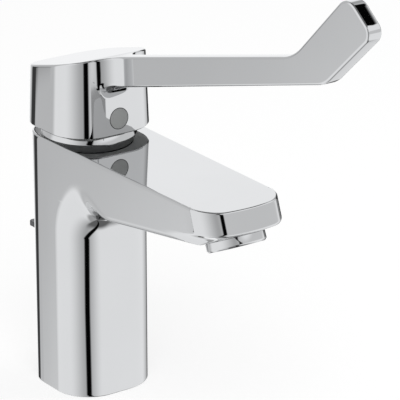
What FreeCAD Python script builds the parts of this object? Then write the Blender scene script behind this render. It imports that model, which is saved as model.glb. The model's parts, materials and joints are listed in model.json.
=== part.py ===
import FreeCAD, Part
import math
import os
import re
import Sketcher

# Single lever basin mixer tap with a long care lever, in millimetres.
# The origin is the centre of the base on the basin's deck. The spout and the lever point to -Y, and +Z is up.
document = FreeCAD.newDocument("MixerTap")
sheet = document.addObject("Spreadsheet::Sheet", "Sizes")

# Driving dimensions, written once each
SIZES = {
    # Column and spout
    "column_width": 43.4,
    "column_corner": 16.0,
    "column_top": 112.6,
    "cut_spare": 4.0,
    "spout_fall": 0.6,
    "spout_reach": 112.5,
    "spout_tip_width": 39.8,
    "spout_edge_round": 2.0,
    "throat_corner": 6.0,
    "underside_start": 85.5,
    "underside_rise": 7.8,
    "throat_radius": 15.0,
    "nose_height": 9.2,
    "nose_lean": 20.0,
    "nose_bulge": 60.0,
    "nose_corner": 10.0,
    # Outlet
    "jet_angle": 24.0,
    "outlet_inset": 10.1,
    "outlet_radius": 11.6,
    "outlet_depth": 8.0,
    "boss_wall": 1.6,
    # Cartridge chamber and waterways in the body
    "chamber_radius": 18.6,
    "chamber_floor": 74.0,
    "nut_radius": 19.0,
    "nut_seat": 103.0,
    "collar_seat": 112.0,
    "collar_gap": 0.4,
    "collar_wall": 2.65,
    "fit_gap": 0.05,
    "loose_gap": 0.3,
    "inlet_spread": 7.5,
    "inlet_back": 2.0,
    "inlet_radius": 4.5,
    "inlet_thread": 14.0,
    "channel_radius": 3.4,
    "waterway_radius": 4.6,
    "waterway_level": 92.5,
    "waterway_rise": 8.0,
    # Pop-up rod at the back
    "rod_back": 14.5,
    "rod_radius": 2.0,
    "rod_lower_end": 58.0,
    "rod_end_radius": 1.75,
    "rod_end_length": 24.0,
    "tab_level": 56.0,
    "tab_thickness": 3.0,
    "tab_width": 9.0,
    "tab_neck": 4.4,
    "tab_reach": 40.5,
    "tab_clear": 1.5,
    "tab_corner": 3.2,
    "tab_travel": 10.0,
    "bush_radius": 3.4,
    "bush_height": 9.0,
    # Fixing under the deck
    "deck_thickness": 22.0,
    "stud_radius": 4.0,
    "stud_front": 10.0,
    "stud_depth": 18.0,
    "stud_length": 78.0,
    "washer_radius": 22.0,
    "washer_slot": 26.0,
    "slot_wall": 2.5,
    "rubber_thickness": 3.0,
    "plate_thickness": 2.0,
    "nut_height": 10.0,
    "nut_width": 13.0,
    "gasket_outer": 20.0,
    "gasket_inner": 18.2,
    "gasket_height": 1.6,
    # Cartridge
    "housing_radius": 17.3,
    "housing_wall": 2.2,
    "housing_neck": 14.6,
    "housing_top": 114.5,
    "neck_bore": 12.05,
    "base_height": 8.5,
    "disc_thickness": 3.5,
    "fixed_disc_radius": 14.8,
    "moving_disc_radius": 11.4,
    "port_radius": 3.0,
    "port_seal_wall": 1.6,
    "port_seal_height": 1.8,
    "pocket_radius": 8.0,
    "carrier_height": 6.0,
    "rail_offset": 8.2,
    "rail_width": 2.0,
    "rail_length": 6.0,
    "rail_height": 2.4,
    "groove_rise": 1.6,
    "groove_width": 2.4,
    "groove_depth": 1.2,
    "sleeve_bottom": 96.4,
    "sleeve_top": 113.6,
    "sleeve_radius": 12.0,
    "sleeve_wall": 2.4,
    "pivot_level": 106.0,
    "stem_square": 8.0,
    "stem_clear": 1.0,
    "stem_ball": 6.0,
    "arm_radius": 2.6,
    "arm_ball": 3.4,
    "arm_level": 94.6,
    "pin_radius": 1.5,
    "pin_inset": 0.5,
    "clamp_height": 4.6,
    "collar_bore": 14.0,
    "dome_gap": 0.6,
    "ring_thickness": 1.3,
    # Handle
    "hub_overhang": 1.0,
    "hub_corner": 16.5,
    "hub_bottom": 116.5,
    "hub_draft": 2.2,
    "hub_top": 144.9,
    "lever_rise": 14.0,
    "hub_wall": 2.1,
    "roof_thickness": 10.9,
    "boss_radius": 8.5,
    "boss_bottom": 119.5,
    "lift_angle": 13.0,
    "relief_start": 14.0,
    "relief_margin": 2.0,
    "lever_thickness": 6.6,
    "lever_root_height": 13.2,
    "lever_under_rise": 14.9,
    "bend_reach": 141.6,
    "paddle_angle": 45.0,
    "paddle_length": 43.6,
    "paddle_width": 19.3,
    "paddle_taper": 2.0,
    "toe_slant": 6.0,
    "bend_round": 24.0,
    "tip_round": 6.7,
    "toe_round": 4.4,
    "heel_round": 16.0,
    "root_round": 8.0,
    # Indicator and set screw
    "dot_level": 123.5,
    "dot_radius": 4.7,
    "dot_thickness": 1.6,
    "screw_radius": 2.5,
    "screw_length": 4.4,
    # Aerator
    "aerator_radius": 12.1,
    "aerator_skirt": 4.1,
    "aerator_bore": 9.9,
    "aerator_lip": 8.6,
    "lip_height": 1.2,
    "skirt_chamfer": 0.9,
    "screen_thickness": 1.4,
    "screen_slot": 1.2,
    "screen_pitch": 2.4,
    "insert_bore": 3.0,
    "insert_hole": 1.1,
    "insert_circle": 6.4,
    "seal_thickness": 1.4,
    "seal_wall": 3.2,
}

for row, (alias, amount) in enumerate(SIZES.items(), start=1):
    sheet.set(f"A{row}", alias)
    sheet.set(f"B{row}", str(amount))
    sheet.setAlias(f"B{row}", alias)
document.recompute()


# Sizes that follow from others
TIED = {
    "hub_width": "(column_width + 2 * hub_overhang)",
    "hub_roof": "(hub_top - roof_thickness)",
    "stem_top": "(hub_roof - stem_clear)",
    "collar_radius": "(hub_width / 2 - hub_wall - collar_gap)",
    "clamp_radius": "(collar_radius - collar_wall)",
    "outlet_reach": "(spout_reach - outlet_inset)",
}


def bound(text):
    """An expression in the sheet's names, which all hold an underscore, with the tied sizes written out."""
    text = str(text)
    while any(re.search(rf"\b{name}\b", text) for name in TIED):
        text = re.sub(r"[a-z]+(?:_[a-z]+)+", lambda name: TIED.get(name.group(0), name.group(0)), text)
    return re.sub(r"[a-z]+(?:_[a-z]+)+", lambda name: "Sizes." + name.group(0), text)


def value(text):
    """The expression's number."""
    return float(sheet.evalExpression(bound(text)))


def bind(thing, **expressions):
    for name, text in expressions.items():
        thing.setExpression(name.replace("__", "."), bound(text))
    return thing


def place(thing, x="0", y="0", z="0", turn=None, about=(1, 0, 0)):
    """Places an object by expressions, turned about one axis through its own origin."""
    bind(thing, Placement__Base__x=x, Placement__Base__y=y, Placement__Base__z=z)
    if turn is not None:
        thing.Placement.Rotation = FreeCAD.Rotation(FreeCAD.Vector(*about), 1)
        bind(thing, Placement__Rotation__Axis__x=str(about[0]))
        bind(thing, Placement__Rotation__Axis__y=str(about[1]))
        bind(thing, Placement__Rotation__Axis__z=str(about[2]))
        bind(thing, Placement__Rotation__Angle=turn)
    return thing


def add(kind, name):
    return document.addObject(kind, name)


# Primitives
def cylinder(name, radius, height, x="0", y="0", z="0", turn=None, about=(1, 0, 0)):
    rod = add("Part::Cylinder", name)
    bind(rod, Radius=radius, Height=height)
    return place(rod, x, y, z, turn, about)


def block(name, low, size, turn=None, about=(1, 0, 0)):
    box = add("Part::Box", name)
    bind(box, Length=size[0], Width=size[1], Height=size[2])
    return place(box, low[0], low[1], low[2], turn, about)


def ball(name, radius, x="0", y="0", z="0"):
    sphere = add("Part::Sphere", name)
    bind(sphere, Radius=radius)
    return place(sphere, x, y, z)


# Booleans
def joined(name, *shapes):
    whole = add("Part::MultiFuse", name)
    whole.Shapes = list(shapes)
    return whole


def cut(name, base, *tools):
    rest = add("Part::Cut", name)
    rest.Base = base
    rest.Tool = tools[0] if len(tools) == 1 else joined(name + "_tools", *tools)
    return rest


def common(name, first, second):
    both = add("Part::Common", name)
    both.Base = first
    both.Tool = second
    return both


# Sketches
def sketch(body, name, plane, height="0"):
    drawn = body.newObject("Sketcher::SketchObject", name)
    drawn.AttachmentSupport = [(next(f for f in body.Origin.OriginFeatures if f.Role == plane), "")]
    drawn.MapMode = "FlatFace"
    drawn.setExpression("AttachmentOffset.Base.z", bound(height))
    return drawn


def fix_point(drawn, line, x, y):
    """Holds the start point of a line at two expressions."""
    for kind, text in (("DistanceX", x), ("DistanceY", y)):
        number = drawn.addConstraint(Sketcher.Constraint(kind, -1, 1, line, 1, value(text)))
        drawn.setExpression(f"Constraints[{number}]", bound(text))


def polygon(body, name, plane, corners):
    """A closed outline of straight lines through corners given as expressions."""
    drawn = sketch(body, name, plane)
    points = [FreeCAD.Vector(value(x), value(y), 0) for x, y in corners]
    count = len(points)
    for i in range(count):
        drawn.addGeometry(Part.LineSegment(points[i], points[(i + 1) % count]))
    for i in range(count):
        drawn.addConstraint(Sketcher.Constraint("Coincident", i, 2, (i + 1) % count, 1))
        fix_point(drawn, i, *corners[i])
    return drawn


def rounded_plan(body, name, height, half, back, front, corner):
    """A rounded rectangle from -half to half in X and from -front to back in Y, at a height."""
    drawn = sketch(body, name, "XY_Plane", height)
    half, back, front, corner = (f"({text})" for text in (half, back, front, corner))
    runs = [
        (f"{corner} - {half}", f"-{front}", f"{half} - {corner}", f"-{front}"),
        (half, f"{corner} - {front}", half, f"{back} - {corner}"),
        (f"{half} - {corner}", back, f"{corner} - {half}", back),
        (f"-{half}", f"{back} - {corner}", f"-{half}", f"{corner} - {front}"),
    ]
    for x1, y1, x2, y2 in runs:
        start = FreeCAD.Vector(value(x1), value(y1), 0)
        stop = FreeCAD.Vector(value(x2), value(y2), 0)
        drawn.addGeometry(Part.LineSegment(start, stop))
    centres = [
        (f"{half} - {corner}", f"{corner} - {front}", -90),
        (f"{half} - {corner}", f"{back} - {corner}", 0),
        (f"{corner} - {half}", f"{back} - {corner}", 90),
        (f"{corner} - {half}", f"{corner} - {front}", 180),
    ]
    for x, y, start in centres:
        ring = Part.Circle(FreeCAD.Vector(value(x), value(y), 0), FreeCAD.Vector(0, 0, 1), value(corner))
        drawn.addGeometry(Part.ArcOfCircle(ring, math.radians(start), math.radians(start + 90)))
    for i, (x1, y1, x2, y2) in enumerate(runs):
        fix_point(drawn, i, x1, y1)
        for kind, text in (("DistanceX", x2), ("DistanceY", y2)):
            number = drawn.addConstraint(Sketcher.Constraint(kind, -1, 1, i, 2, value(text)))
            drawn.setExpression(f"Constraints[{number}]", bound(text))
    for i in range(4):
        drawn.addConstraint(Sketcher.Constraint("Coincident", i, 2, 4 + i, 1))
        drawn.addConstraint(Sketcher.Constraint("Coincident", 4 + i, 2, (i + 1) % 4, 1))
        number = drawn.addConstraint(Sketcher.Constraint("Radius", 4 + i, value(corner)))
        drawn.setExpression(f"Constraints[{number}]", bound(corner))
    return drawn


def front_plan(body, name, height, half, front, corner):
    """A plan with a square back on the X axis and a front with two rounded corners, at a height."""
    drawn = sketch(body, name, "XY_Plane", height)
    half, front, corner = (f"({text})" for text in (half, front, corner))
    turns = [
        (f"-{half}", "0"),
        (f"-{half}", f"{corner} - {front}"),
        (f"{corner} - {half}", f"-{front}"),
        (f"{half} - {corner}", f"-{front}"),
        (half, f"{corner} - {front}"),
        (half, "0"),
    ]
    points = [FreeCAD.Vector(value(x), value(y), 0) for x, y in turns]
    for first, last in ((0, 1), (2, 3), (4, 5), (5, 0)):
        line = drawn.addGeometry(Part.LineSegment(points[first], points[last]))
        for end, (x, y) in ((1, turns[first]), (2, turns[last])):
            if line == 3:
                continue
            for kind, text in (("DistanceX", x), ("DistanceY", y)):
                number = drawn.addConstraint(Sketcher.Constraint(kind, -1, 1, line, end, value(text)))
                drawn.setExpression(f"Constraints[{number}]", bound(text))
    for side, start, (before, after) in (("-", 180, (0, 1)), ("", 270, (1, 2))):
        x = f"{side}({half} - {corner})"
        y = f"{corner} - {front}"
        ring = Part.Circle(FreeCAD.Vector(value(x), value(y), 0), FreeCAD.Vector(0, 0, 1), value(corner))
        arc = drawn.addGeometry(Part.ArcOfCircle(ring, math.radians(start), math.radians(start + 90)))
        drawn.addConstraint(Sketcher.Constraint("Coincident", before, 2, arc, 1))
        drawn.addConstraint(Sketcher.Constraint("Coincident", arc, 2, after, 1))
        number = drawn.addConstraint(Sketcher.Constraint("Radius", arc, value(corner)))
        drawn.setExpression(f"Constraints[{number}]", bound(corner))
    drawn.addConstraint(Sketcher.Constraint("Coincident", 2, 2, 3, 1))
    drawn.addConstraint(Sketcher.Constraint("Coincident", 3, 2, 0, 1))
    return drawn


def pad(body, name, drawn, length, both_ways=False):
    raised = body.newObject("PartDesign::Pad", name)
    raised.Profile = drawn
    raised.SideType = "Symmetric" if both_ways else "One side"
    bind(raised, Length=length)
    body.Tip = raised
    return raised


def turned(name, corners):
    """A ring or disc: an outline of radius and height, turned about the upright axis."""
    body = add("PartDesign::Body", name)
    drawn = polygon(body, name + "_outline", "XZ_Plane", corners)
    whole = body.newObject("PartDesign::Revolution", name + "_turned")
    whole.Profile = drawn
    whole.ReferenceAxis = (drawn, ["V_Axis"])
    whole.Angle = 360
    body.Tip = whole
    return body


def ring(name, outer, inner, low, high):
    return turned(name, [(inner, low), (outer, low), (outer, high), (inner, high)])


def picked(shape, test):
    return [number for number, edge in enumerate(shape.Edges, start=1) if test(edge)]


def rounded(name, base, test, radius):
    """Rounds the edges of base that pass the test."""
    document.recompute()
    chosen = picked(base.Shape, test)
    if not chosen:
        raise RuntimeError(f"{name}: no edge to round")
    filleted = add("Part::Fillet", name)
    filleted.Base = base
    filleted.Edges = [(number, value(radius), value(radius)) for number in chosen]
    document.recompute()
    return filleted


def middle(edge):
    return edge.valueAt((edge.FirstParameter + edge.LastParameter) / 2)


subparts = {}


def finish(label, shape, **how):
    shape.Label = label
    subparts[label] = shape
    return shape


# Body: one casting of a rounded square column and a tapering spout, joined by a curved throat
def column():
    body = add("PartDesign::Body", "Column")
    plan = rounded_plan(body, "Column_plan", "0", "column_width / 2", "column_width / 2", "column_width / 2",
                        "column_corner")
    pad(body, "Column_pad", plan, "column_top + cut_spare")
    return body


THROAT_STEPS = 5
THROAT_END = "(90 - underside_rise)"
THROAT_FOOT = f"(underside_start - throat_radius * tan({THROAT_END} / 2))"


def throat_reach(angle):
    return f"column_width / 2 + throat_radius * (1 - cos({angle}))"


def throat():
    """A loft of level sections: each reaches as far as the throat's arc and its corners tighten upwards."""
    body = add("PartDesign::Body", "Throat")
    plans = []
    for step in range(THROAT_STEPS + 1):
        angle = f"({THROAT_END} * {step} / {THROAT_STEPS})"
        level = f"{THROAT_FOOT} + throat_radius * sin({angle})"
        corner = f"column_corner - (column_corner - throat_corner) * {step} / {THROAT_STEPS}"
        plans.append(front_plan(body, f"Throat_plan_{step}", level, "column_width / 2", throat_reach(angle),
                                corner))
    loft = body.newObject("PartDesign::AdditiveLoft", "Throat_loft")
    loft.Profile = plans[0]
    loft.Sections = plans[1:]
    body.Tip = loft
    return body


SPOUT_BASE = f"(({THROAT_FOOT}) + throat_radius * sin({THROAT_END}))"
SPOUT_BACK = f"({throat_reach(THROAT_END)})"
NOSE_FOOT = "(spout_reach + nose_height * tan(nose_lean))"
NOSE_LEVEL = "(column_top - spout_reach * tan(spout_fall) - nose_height)"
OUTLET_LEVEL = f"({NOSE_LEVEL} - ({NOSE_FOOT} - outlet_reach) * tan(jet_angle))"
# The nose's cut falls back at the jet's angle until it meets the long underside
CUT_RUN = (f"((({NOSE_LEVEL}) - underside_start - ({NOSE_FOOT} - column_width / 2) * tan(underside_rise))"
           " / (tan(jet_angle) - tan(underside_rise)))")


def spout():
    body = add("PartDesign::Body", "Spout")
    side = polygon(body, "Spout_side", "YZ_Plane", [
        ("0", SPOUT_BASE),
        ("0", "column_top + cut_spare"),
        ("-spout_reach - nose_corner", "column_top + cut_spare - spout_reach * tan(spout_fall)"),
        (f"-{NOSE_FOOT} - nose_corner", f"{NOSE_LEVEL} + nose_corner * tan(jet_angle)"),
        (f"{CUT_RUN} - {NOSE_FOOT}", f"{NOSE_LEVEL} - {CUT_RUN} * tan(jet_angle)"),
        (f"-{SPOUT_BACK}", SPOUT_BASE),
    ])
    pad(body, "Spout_pad", side, "2 * column_width", both_ways=True)
    plan_body = add("PartDesign::Body", "Spout_taper")
    plan = polygon(plan_body, "Spout_plan", "XY_Plane", [
        ("-column_width / 2", "0"),
        ("column_width / 2 - spout_tip_width", "-2 * spout_reach"),
        ("spout_tip_width - column_width / 2", "-2 * spout_reach"),
        ("column_width / 2", "0"),
    ])
    pad(plan_body, "Spout_taper_pad", plan, "2 * column_top")
    tapered = common("Spout_tapered", body, plan_body)
    drum = cylinder("Nose_drum", "nose_bulge", "4 * column_top",
                    y="nose_bulge / cos(nose_lean) - spout_reach - 2 * column_top * tan(nose_lean)",
                    z="-column_top - spout_reach * tan(spout_fall)",
                    turn="-nose_lean")
    bulged = common("Spout_bulged", tapered, drum)
    nose = value("nose_corner - spout_reach")
    side = value("spout_tip_width / 2 - nose_corner")
    corners = rounded("Spout_corners", bulged,
                      lambda e: middle(e).y < nose and abs(middle(e).x) > side
                      and e.BoundBox.ZLength > max(e.BoundBox.YLength, e.BoundBox.XLength), "nose_corner")
    level = value("column_top - nose_height")
    long = value("spout_reach / 3")
    return rounded("Spout_edges", corners,
                   lambda e: abs(middle(e).x) > side and middle(e).z < level and e.BoundBox.YLength > long,
                   "spout_edge_round")


def along_jet(name, radius, start, length):
    """A cylinder on the outlet's axis, from start up to start plus length, counted upwards from the seat."""
    return cylinder(name, radius, length,
                    y=f"-outlet_reach + ({start}) * sin(jet_angle)",
                    z=f"{OUTLET_LEVEL} + ({start}) * cos(jet_angle)",
                    turn="-jet_angle")


def body_casting():
    outlet_boss = along_jet("Outlet_boss", "outlet_radius + boss_wall", "0", "outlet_depth")
    whole = joined("Casting", column(), throat(), spout(), outlet_boss)
    above = block("Above_top", ("-column_width", "-2 * spout_reach", "column_top - 2 * spout_reach * tan(spout_fall)"),
                  ("2 * column_width", "3 * spout_reach", "column_width"), turn="spout_fall")
    tools = [
        above,
        cylinder("Chamber", "chamber_radius", "column_top", z="chamber_floor"),
        cylinder("Nut_thread", "nut_radius + fit_gap", "column_top", z="nut_seat"),
        cylinder("Collar_recess", "collar_radius + fit_gap", "column_top", z="collar_seat"),
        along_jet("Outlet_bore", "outlet_radius + fit_gap", "-outlet_depth", "2 * outlet_depth"),
        cylinder("Waterway", "waterway_radius", "outlet_reach - chamber_radius + cut_spare", y="cut_spare - chamber_radius",
                 z="waterway_level", turn="90 - waterway_rise"),
        cylinder("Stud_hole", "stud_radius + fit_gap", "stud_depth", y="-stud_front"),
        cylinder("Rod_hole", "rod_radius + loose_gap", "tab_level + tab_travel + tab_thickness", y="rod_back"),
        block("Rod_slot", ("-tab_neck / 2 - loose_gap", "rod_back - tab_neck / 2 - loose_gap",
                           "tab_level - tab_thickness"),
              ("tab_neck + 2 * loose_gap", "column_width", "tab_travel + 2 * tab_thickness")),
        cylinder("Bush_seat", "bush_radius", "bush_height", y="rod_back"),
        cut("Gasket_groove", cylinder("Gasket_outer_wall", "gasket_outer", "gasket_height"),
            cylinder("Gasket_inner_wall", "gasket_inner", "gasket_height")),
    ]
    for side, sign in (("Hot", "-"), ("Cold", "")):
        tools.append(cylinder(f"{side}_inlet", "inlet_radius", "inlet_thread", x=f"{sign}inlet_spread",
                              y="inlet_back"))
        tools.append(cylinder(f"{side}_channel", "channel_radius", "chamber_floor", x=f"{sign}inlet_spread",
                              y="inlet_back"))
    finish("tap_body", cut("Tap_body", whole, *tools))


# Cartridge: base with its ports, two ceramic discs, housing, and the seals that close it in the chamber
def cartridge():
    base = ring("Base_block", "housing_radius", "0", "chamber_floor", "chamber_floor + base_height")
    ports = []
    for number, (x, y) in enumerate((("-inlet_spread", "inlet_back"), ("inlet_spread", "inlet_back"),
                                     ("0", "-inlet_spread"))):
        ports.append(cylinder(f"Base_port_{number}", "port_radius", "base_height", x=x, y=y, z="chamber_floor"))
        if number < 2:
            ports.append(cylinder(f"Seal_seat_{number}", "port_radius + port_seal_wall", "port_seal_height", x=x, y=y,
                                  z="chamber_floor"))
    outlet_slot = block("Base_outlet", ("-port_radius", "-2 * housing_radius", "chamber_floor + base_height / 3"),
                        ("2 * port_radius", "2 * housing_radius - inlet_spread", "base_height / 3"))
    finish("cartridge_base", cut("Cartridge_base", base, outlet_slot, *ports))
    for number, side in enumerate(("-", "")):
        outer = cylinder(f"Port_seal_outer_{number}", "port_radius + port_seal_wall", "port_seal_height",
                         x=f"{side}inlet_spread", y="inlet_back", z="chamber_floor")
        inner = cylinder(f"Port_seal_inner_{number}", "port_radius", "port_seal_height",
                         x=f"{side}inlet_spread", y="inlet_back", z="chamber_floor")
        finish(("port_seal_hot", "port_seal_cold")[number], cut(f"Port_seal_{number}", outer, inner))


DISC_SEAT = "(chamber_floor + base_height)"
DISC_PLANE = f"({DISC_SEAT} + disc_thickness)"
CARRIER_SEAT = f"({DISC_PLANE} + disc_thickness)"
CARRIER_TOP = f"({CARRIER_SEAT} + carrier_height)"
DISC_TRAVEL = "((pivot_level - arm_level) * sin(lift_angle))"


def rail_pair(name, gap, low, height, half_length):
    """Two bars along Y, one each side of the middle, wider than the rails by gap all round."""
    bars = []
    for side, start in (("Left", f"-rail_offset - rail_width - {gap}"), ("Right", f"rail_offset - {gap}")):
        bars.append(block(f"{name}_{side}", (start, f"-{half_length}", low),
                          (f"rail_width + 2 * {gap}", f"2 * ({half_length})", height)))
    return bars


def discs():
    fixed = ring("Fixed_disc_blank", "fixed_disc_radius", "0", DISC_SEAT, DISC_PLANE)
    ports = []
    for number, (x, y) in enumerate((("-inlet_spread", "inlet_back"), ("inlet_spread", "inlet_back"),
                                     ("0", "-inlet_spread"))):
        ports.append(cylinder(f"Disc_port_{number}", "port_radius", "disc_thickness", x=x, y=y, z=DISC_SEAT))
    finish("fixed_disc", cut("Fixed_disc", fixed, *ports))
    moving = ring("Moving_disc_blank", "moving_disc_radius", "0", DISC_PLANE, CARRIER_SEAT)
    pocket = cylinder("Mixing_pocket", "pocket_radius", "disc_thickness / 2", z=DISC_PLANE)
    finish("moving_disc", cut("Moving_disc", moving, pocket))
    carrier = ring("Carrier_block", "moving_disc_radius", "0", CARRIER_SEAT, CARRIER_TOP)
    socket = cylinder("Carrier_socket", "arm_ball + loose_gap", "carrier_height",
                      z="arm_level - arm_ball - loose_gap")
    rails = rail_pair("Carrier_rail", "0", f"{CARRIER_TOP} - rail_height", "2 * rail_height", "rail_length / 2")
    finish("disc_carrier", cut("Disc_carrier", joined("Carrier_blank", carrier, *rails), socket))


def housing():
    shell = turned("Housing_shell", [
        ("housing_radius - housing_wall", DISC_SEAT),
        ("housing_radius", DISC_SEAT),
        ("housing_radius", "nut_seat"),
        ("housing_neck", "nut_seat"),
        ("housing_neck", "housing_top"),
        ("neck_bore", "housing_top"),
        ("neck_bore", "sleeve_bottom"),
        ("housing_radius - housing_wall", "sleeve_bottom"),
    ])
    low = "sleeve_bottom + groove_rise"
    groove = ring("Housing_groove", "chamber_radius", "housing_radius - groove_depth", low, f"{low} + groove_width")
    finish("cartridge_housing", cut("Cartridge_housing", shell, groove))
    finish("housing_seal", ring("Housing_seal", "chamber_radius - fit_gap",
                                "housing_radius - groove_depth + fit_gap", low,
                                f"{low} + groove_width"))


def turning_parts():
    tube = ring("Sleeve_tube", "sleeve_radius", "0", "sleeve_bottom", "sleeve_top")
    slot = block("Sleeve_slot", ("-stem_ball - fit_gap", "sleeve_wall - sleeve_radius", "sleeve_bottom"),
                 ("2 * (stem_ball + fit_gap)", "2 * (sleeve_radius - sleeve_wall)", "sleeve_top"))
    grooves = rail_pair("Sleeve_groove", "loose_gap", f"{CARRIER_TOP} + loose_gap", "rail_height",
                        f"(rail_length / 2 + {DISC_TRAVEL} + loose_gap)")
    pin_hole = cylinder("Sleeve_pin_hole", "pin_radius", "4 * sleeve_radius", x="-2 * sleeve_radius", z="pivot_level",
                        turn="90", about=(0, 1, 0))
    finish("turning_sleeve", cut("Turning_sleeve", tube, slot, pin_hole, *grooves))
    finish("pivot_pin", cylinder("Pivot_pin", "pin_radius", "2 * (sleeve_radius - pin_inset)",
                                 x="pin_inset - sleeve_radius", z="pivot_level", turn="90", about=(0, 1, 0)))


def stem():
    square = block("Stem_bar", ("-stem_square / 2", "-stem_square / 2", "pivot_level"),
                   ("stem_square", "stem_square", "stem_top - pivot_level"))
    knuckle = cylinder("Stem_knuckle", "stem_ball", "2 * stem_ball", x="-stem_ball", z="pivot_level", turn="90",
                       about=(0, 1, 0))
    arm = cylinder("Stem_arm", "arm_radius", "pivot_level - arm_level", z="arm_level")
    tip = ball("Stem_tip", "arm_ball", z="arm_level")
    pin_hole = cylinder("Stem_pin_hole", "pin_radius + fit_gap", "4 * stem_ball", x="-2 * stem_ball", z="pivot_level",
                        turn="90", about=(0, 1, 0))
    finish("stem", cut("Stem", joined("Stem_blank", square, knuckle, arm, tip), pin_hole))


NUT_TOP = "(collar_seat + clamp_height)"
DOME_RADIUS = ("(sqrt(pow(hub_width / 2 - hub_wall; 2) + pow(hub_bottom - pivot_level; 2)) - dome_gap)")


def clamp_parts():
    """The nut that clamps the cartridge, and the domed collar that covers it under the hub."""
    thread = ring("Nut_thread_ring", "nut_radius", "housing_neck + fit_gap", "nut_seat", "collar_seat")
    head = ring("Nut_head", "clamp_radius", "housing_neck + fit_gap", "collar_seat", NUT_TOP)
    finish("cartridge_nut", joined("Cartridge_nut", thread, head))
    body = add("PartDesign::Body", "Collar_blank")
    straight = polygon(body, "Collar_outline", "XZ_Plane", [
        ("collar_bore", f"{NUT_TOP} + fit_gap"),
        ("clamp_radius + fit_gap", f"{NUT_TOP} + fit_gap"),
        ("clamp_radius + fit_gap", "collar_seat"),
        ("collar_radius", "collar_seat"),
        ("collar_radius", f"{NUT_TOP} + 3 * ring_thickness"),
        ("collar_bore", f"{NUT_TOP} + 3 * ring_thickness"),
    ])
    whole = body.newObject("PartDesign::Revolution", "Collar_turned")
    whole.Profile = straight
    whole.ReferenceAxis = (straight, ["V_Axis"])
    whole.Angle = 360
    body.Tip = whole
    dome = ball("Collar_dome", DOME_RADIUS, z="pivot_level")
    finish("collar_ring", common("Collar_ring", body, dome))


# Handle: a hollow rounded square hub and a long flat lever, cast in one piece
RISE = "tan(lever_rise)"
UNDER = "tan(lever_under_rise)"
ROOT_UNDER = f"(hub_top + hub_width / 2 * {RISE} - lever_root_height)"


def hub_blank():
    body = add("PartDesign::Body", "Hub_walls")
    height = "(hub_top + hub_width - hub_bottom)"
    plans = []
    for name, level, inset in (("low", "hub_bottom", "0"), ("high", f"hub_bottom + {height}",
                                                            f"{height} * tan(hub_draft)")):
        half = f"hub_width / 2 - {inset}"
        plans.append(rounded_plan(body, f"Hub_plan_{name}", level, half, half, half, f"hub_corner - {inset}"))
    loft = body.newObject("PartDesign::AdditiveLoft", "Hub_loft")
    loft.Profile = plans[0]
    loft.Sections = plans[1:]
    body.Tip = loft
    side_body = add("PartDesign::Body", "Hub_side")
    side = polygon(side_body, "Hub_side_outline", "YZ_Plane", [
        ("-hub_width", "hub_bottom"),
        ("relief_start", "hub_bottom"),
        ("hub_width", "hub_bottom + (hub_width - relief_start) * tan(lift_angle + relief_margin)"),
        ("hub_width", f"hub_top - hub_width * {RISE}"),
        ("-hub_width", f"hub_top + hub_width * {RISE}"),
    ])
    pad(side_body, "Hub_side_pad", side, "2 * hub_width", both_ways=True)
    return common("Hub_blank", body, side_body)


def lever_blank():
    """The lever's side outline: a rising bar, bent up into a paddle at its end."""
    bend_level = f"(hub_top + bend_reach * {RISE})"
    tip_y = "(bend_reach + paddle_length * cos(paddle_angle))"
    tip_z = f"({bend_level} + paddle_length * sin(paddle_angle))"
    toe_y = f"({tip_y} + paddle_width * sin(paddle_angle + toe_slant))"
    toe_z = f"({tip_z} - paddle_width * cos(paddle_angle + toe_slant))"
    # The paddle's lower edge runs back from the toe, parallel to its upper edge, to meet the bar's underside
    drop = (f"(({toe_z}) - ({ROOT_UNDER}) - (({toe_y}) - hub_width / 2) * {UNDER})")
    run = f"({drop} / (tan(paddle_angle - paddle_taper) - {UNDER}))"
    body = add("PartDesign::Body", "Lever_bar")
    side = polygon(body, "Lever_outline", "YZ_Plane", [
        ("-boss_radius", f"hub_top + boss_radius * {RISE}"),
        ("-bend_reach", bend_level),
        (f"-{tip_y}", tip_z),
        (f"-{toe_y}", toe_z),
        (f"{run} - {toe_y}", f"{toe_z} - {run} * tan(paddle_angle - paddle_taper)"),
        ("-boss_radius", f"{ROOT_UNDER} - (hub_width / 2 - boss_radius) * {UNDER}"),
    ])
    bar = pad(body, "Lever_pad", side, "lever_thickness", both_ways=True)
    document.recompute()
    corners = (
        ("bend_round", "bend_reach", bend_level),
        ("tip_round", tip_y, tip_z),
        ("toe_round", toe_y, toe_z),
        ("heel_round", f"{toe_y} - {run}", f"{toe_z} - {run} * tan(paddle_angle - paddle_taper)"),
    )
    for radius, y, z in corners:
        spot = FreeCAD.Vector(0, -value(y), value(z))
        base = body.Tip
        number = min(range(len(base.Shape.Edges)), key=lambda i: (middle(base.Shape.Edges[i]) - spot).Length)
        curve = body.newObject("PartDesign::Fillet", "Lever_" + radius)
        curve.Base = (base, [f"Edge{number + 1}"])
        bind(curve, Radius=radius)
        body.Tip = curve
        document.recompute()
    return body


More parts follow.
